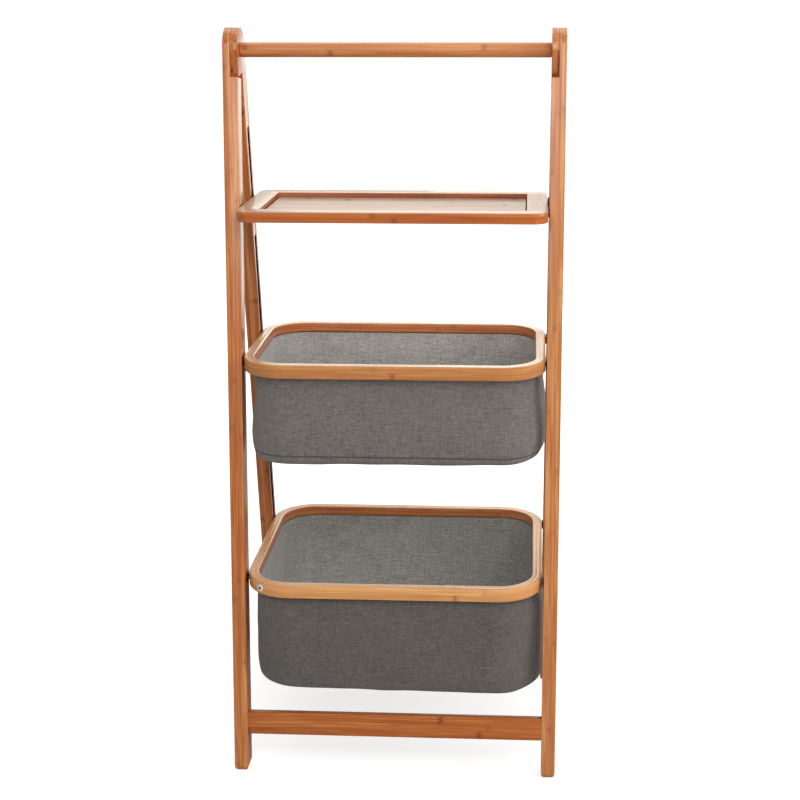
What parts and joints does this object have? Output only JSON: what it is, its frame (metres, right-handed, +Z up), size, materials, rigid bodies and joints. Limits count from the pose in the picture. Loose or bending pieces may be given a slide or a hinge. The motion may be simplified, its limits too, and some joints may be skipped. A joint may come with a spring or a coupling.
{
  "type": "folding storage rack",
  "caption": "Folding A-frame wooden rack with a top rail, a framed shelf and fabric baskets hung in bent hoops, all tilting flat as it folds.",
  "frame": {"origin": "on the floor, midway between the four feet, straight below the top rail", "axes": "+Z up, +X to the right seen from the front, -Y towards the front legs"},
  "size_m": [0.446, 0.3306, 0.9999],
  "materials": {
    "bamboo_legs": "satin lacquered laminated bamboo, grain along the leg",
    "bamboo_rail": "satin lacquered bamboo, turned round",
    "bamboo_crossbars": "satin lacquered laminated bamboo",
    "wooden_dowels": "plain wood, hidden in the joints",
    "steel_fasteners": "zinc-bright steel",
    "black_plastic": "matt black nylon",
    "bamboo_shelf_frame": "satin lacquered laminated bamboo",
    "lacquered_panel": "glossy clear-lacquered pale board",
    "bamboo_hoops": "satin lacquered steam-bent bamboo",
    "bamboo_inner_hoops": "satin lacquered steam-bent bamboo",
    "grey_fabric": "matt grey plain-weave canvas"
  },
  "bodies": {
    "front_frame": {"front_leg_left": "bamboo_legs", "front_leg_right": "bamboo_legs", "top_rail": "bamboo_rail", "rail_end_screws": "steel_fasteners", "front_crossbar": "bamboo_crossbars", "front_crossbar_dowels": "wooden_dowels", "front_crossbar_screws": "steel_fasteners", "shelf_pivot_bolts": "steel_fasteners", "upper_pivot_bolts": "steel_fasteners", "lower_pivot_bolts": "steel_fasteners", "shelf_spacers": "black_plastic", "upper_spacers": "black_plastic", "lower_spacers": "black_plastic"},
    "rear_frame": {"rear_leg_left": "bamboo_legs", "rear_leg_right": "bamboo_legs", "rear_crossbar": "bamboo_crossbars", "rear_crossbar_dowels": "wooden_dowels", "rear_crossbar_screws": "steel_fasteners"},
    "shelf": {"shelf_left_rail": "bamboo_shelf_frame", "shelf_right_rail": "bamboo_shelf_frame", "shelf_front_rail": "bamboo_shelf_frame", "shelf_rear_rail": "bamboo_shelf_frame", "shelf_panel": "lacquered_panel", "shelf_dowels": "wooden_dowels"},
    "upper_basket": {"upper_outer_hoop": "bamboo_hoops", "upper_inner_hoop": "bamboo_inner_hoops", "upper_bag": "grey_fabric"},
    "lower_basket": {"lower_outer_hoop": "bamboo_hoops", "lower_inner_hoop": "bamboo_inner_hoops", "lower_bag": "grey_fabric", "lower_hoop_screw": "steel_fasteners"},
    "shelf_pins": {"shelf_slide_pins": "steel_fasteners", "shelf_slide_glides": "black_plastic"},
    "upper_pins": {"upper_slide_pins": "steel_fasteners", "upper_slide_glides": "black_plastic"},
    "lower_pins": {"lower_slide_pins": "steel_fasteners", "lower_slide_glides": "black_plastic"}
  },
  "joints": [
    {"name": "fold", "type": "hinge", "parent": "front_frame", "child": "rear_frame", "pos_m": [0, 0, 0.9715], "axis": [1, 0, 0], "range_deg": [-16, 0]},
    {"name": "shelf_tilt", "type": "hinge", "parent": "front_frame", "child": "shelf", "pos_m": [0, -0.04331, 0.7675], "axis": [1, 0, 0], "range_deg": [0, 62.54]},
    {"name": "upper_basket_tilt", "type": "hinge", "parent": "front_frame", "child": "upper_basket", "pos_m": [0, -0.07118, 0.56925], "axis": [1, 0, 0], "range_deg": [0, 70.35], "deforming": ["upper_bag"]},
    {"name": "lower_basket_tilt", "type": "hinge", "parent": "front_frame", "child": "lower_basket", "pos_m": [0, -0.11292, 0.27225], "axis": [1, 0, 0], "range_deg": [0, 74.72], "deforming": ["lower_bag"]},
    {"name": "shelf_pins_slide", "type": "slide", "parent": "rear_frame", "child": "shelf_pins", "axis": [0, -0.1392, 0.9903], "range_m": [0, 0.08213]},
    {"name": "upper_pins_slide", "type": "slide", "parent": "rear_frame", "child": "upper_pins", "axis": [0, -0.1392, 0.9903], "range_m": [0, 0.13986]},
    {"name": "lower_pins_slide", "type": "slide", "parent": "rear_frame", "child": "lower_pins", "axis": [0, -0.1392, 0.9903], "range_m": [0, 0.22446]}
  ],
  "couplings": [
    {"joint": "shelf_tilt", "follows": "fold", "ratio": -3.9026},
    {"joint": "upper_basket_tilt", "follows": "fold", "ratio": -4.3903},
    {"joint": "lower_basket_tilt", "follows": "fold", "ratio": -4.6639},
    {"joint": "shelf_pins_slide", "follows": "fold", "m_per_rad": -0.29231},
    {"joint": "upper_pins_slide", "follows": "fold", "m_per_rad": -0.49906},
    {"joint": "lower_pins_slide", "follows": "fold", "m_per_rad": -0.802}
  ]
}
